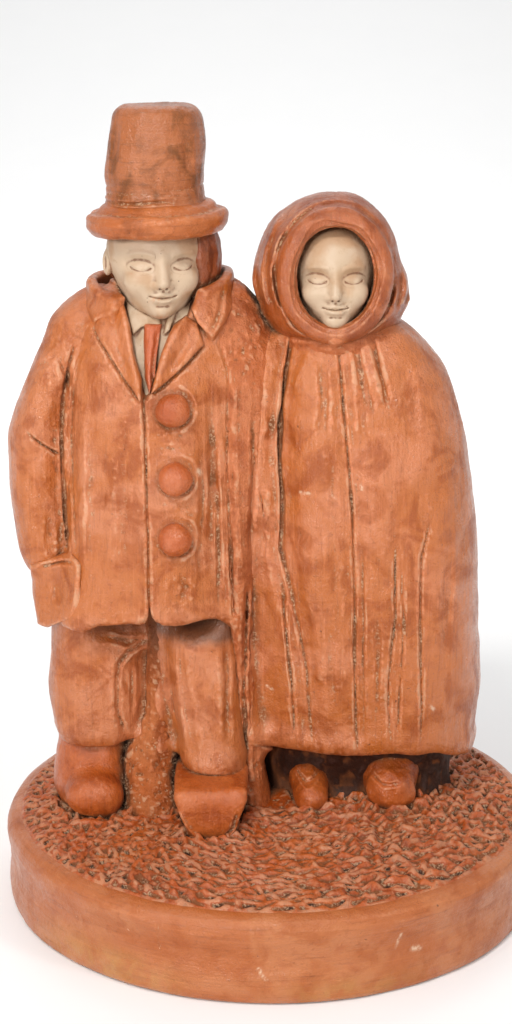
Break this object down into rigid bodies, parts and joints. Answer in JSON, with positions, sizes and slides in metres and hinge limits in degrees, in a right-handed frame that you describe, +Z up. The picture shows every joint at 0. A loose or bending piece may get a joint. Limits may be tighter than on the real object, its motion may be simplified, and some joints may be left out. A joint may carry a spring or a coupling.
{
  "type": "terracotta couple figurine",
  "caption": "Hand-modelled terracotta couple on a round plinth: a man in a top hat and long buttoned coat beside a woman in a hooded cloak; rests on its flat base.",
  "frame": {"origin": "centre of the plinth's flat underside", "axes": "+X to the viewer's right as the couple is faced, +Y from the couple's faces towards their backs, +Z up"},
  "size_m": [0.1594, 0.1594, 0.2306],
  "materials": {
    "terracotta_base": "smoothed fired terracotta, waxed, with a hairline crack, pits and a few pale scuffs",
    "terracotta_ground": "stippled and gouged fired terracotta, deeper orange, waxed",
    "rough_clay": "torn and pressed joint clay with pale grains, unwaxed",
    "terracotta": "hand-smoothed fired terracotta with tool marks, waxed to a soft sheen, dark in the recesses",
    "cream_slip": "off-white slip brushed over the clay, stained brown in the creases",
    "terracotta_tie": "redder fired terracotta, waxed",
    "terracotta_button": "pinched pellets of terracotta, waxed and slightly paler on top",
    "cream_slip_face": "off-white slip, softly burnished, stained brown in the creases",
    "dark_recess_clay": "shaded, unsmoothed terracotta, dark brown",
    "terracotta_cloak": "smoothed fired terracotta with scored fold lines, waxed, lighter pink where rubbed",
    "terracotta_lining": "darker terracotta with light rubbed edges"
  },
  "bodies": {
    "root": {"base_plinth": "terracotta_base", "textured_ground": "terracotta_ground", "foot_clay_web": "rough_clay", "joint_clay_strip": "rough_clay", "man_right_shoe": "terracotta", "man_left_shoe": "terracotta", "man_right_trouser_leg": "terracotta", "man_left_trouser_leg": "terracotta", "man_coat": "terracotta", "man_right_sleeve": "terracotta", "coat_pocket": "terracotta", "man_left_sleeve": "terracotta", "man_right_collar": "terracotta", "man_left_collar": "terracotta", "man_right_lapel": "terracotta", "man_left_lapel": "terracotta", "shirt_front": "cream_slip", "necktie": "terracotta_tie", "coat_button_top": "terracotta_button", "coat_button_middle": "terracotta_button", "coat_button_bottom": "terracotta_button", "man_head": "cream_slip_face", "man_hair": "terracotta", "hat_brim": "terracotta", "hat_crown": "terracotta", "woman_right_shoe": "terracotta", "woman_left_shoe": "terracotta", "woman_skirt": "dark_recess_clay", "woman_cloak": "terracotta_cloak", "woman_hood": "terracotta_cloak", "hood_rim": "terracotta_cloak", "hood_lining": "terracotta_lining", "woman_head": "cream_slip_face", "cloak_neckband": "terracotta_cloak"}
  },
  "joints": []
}
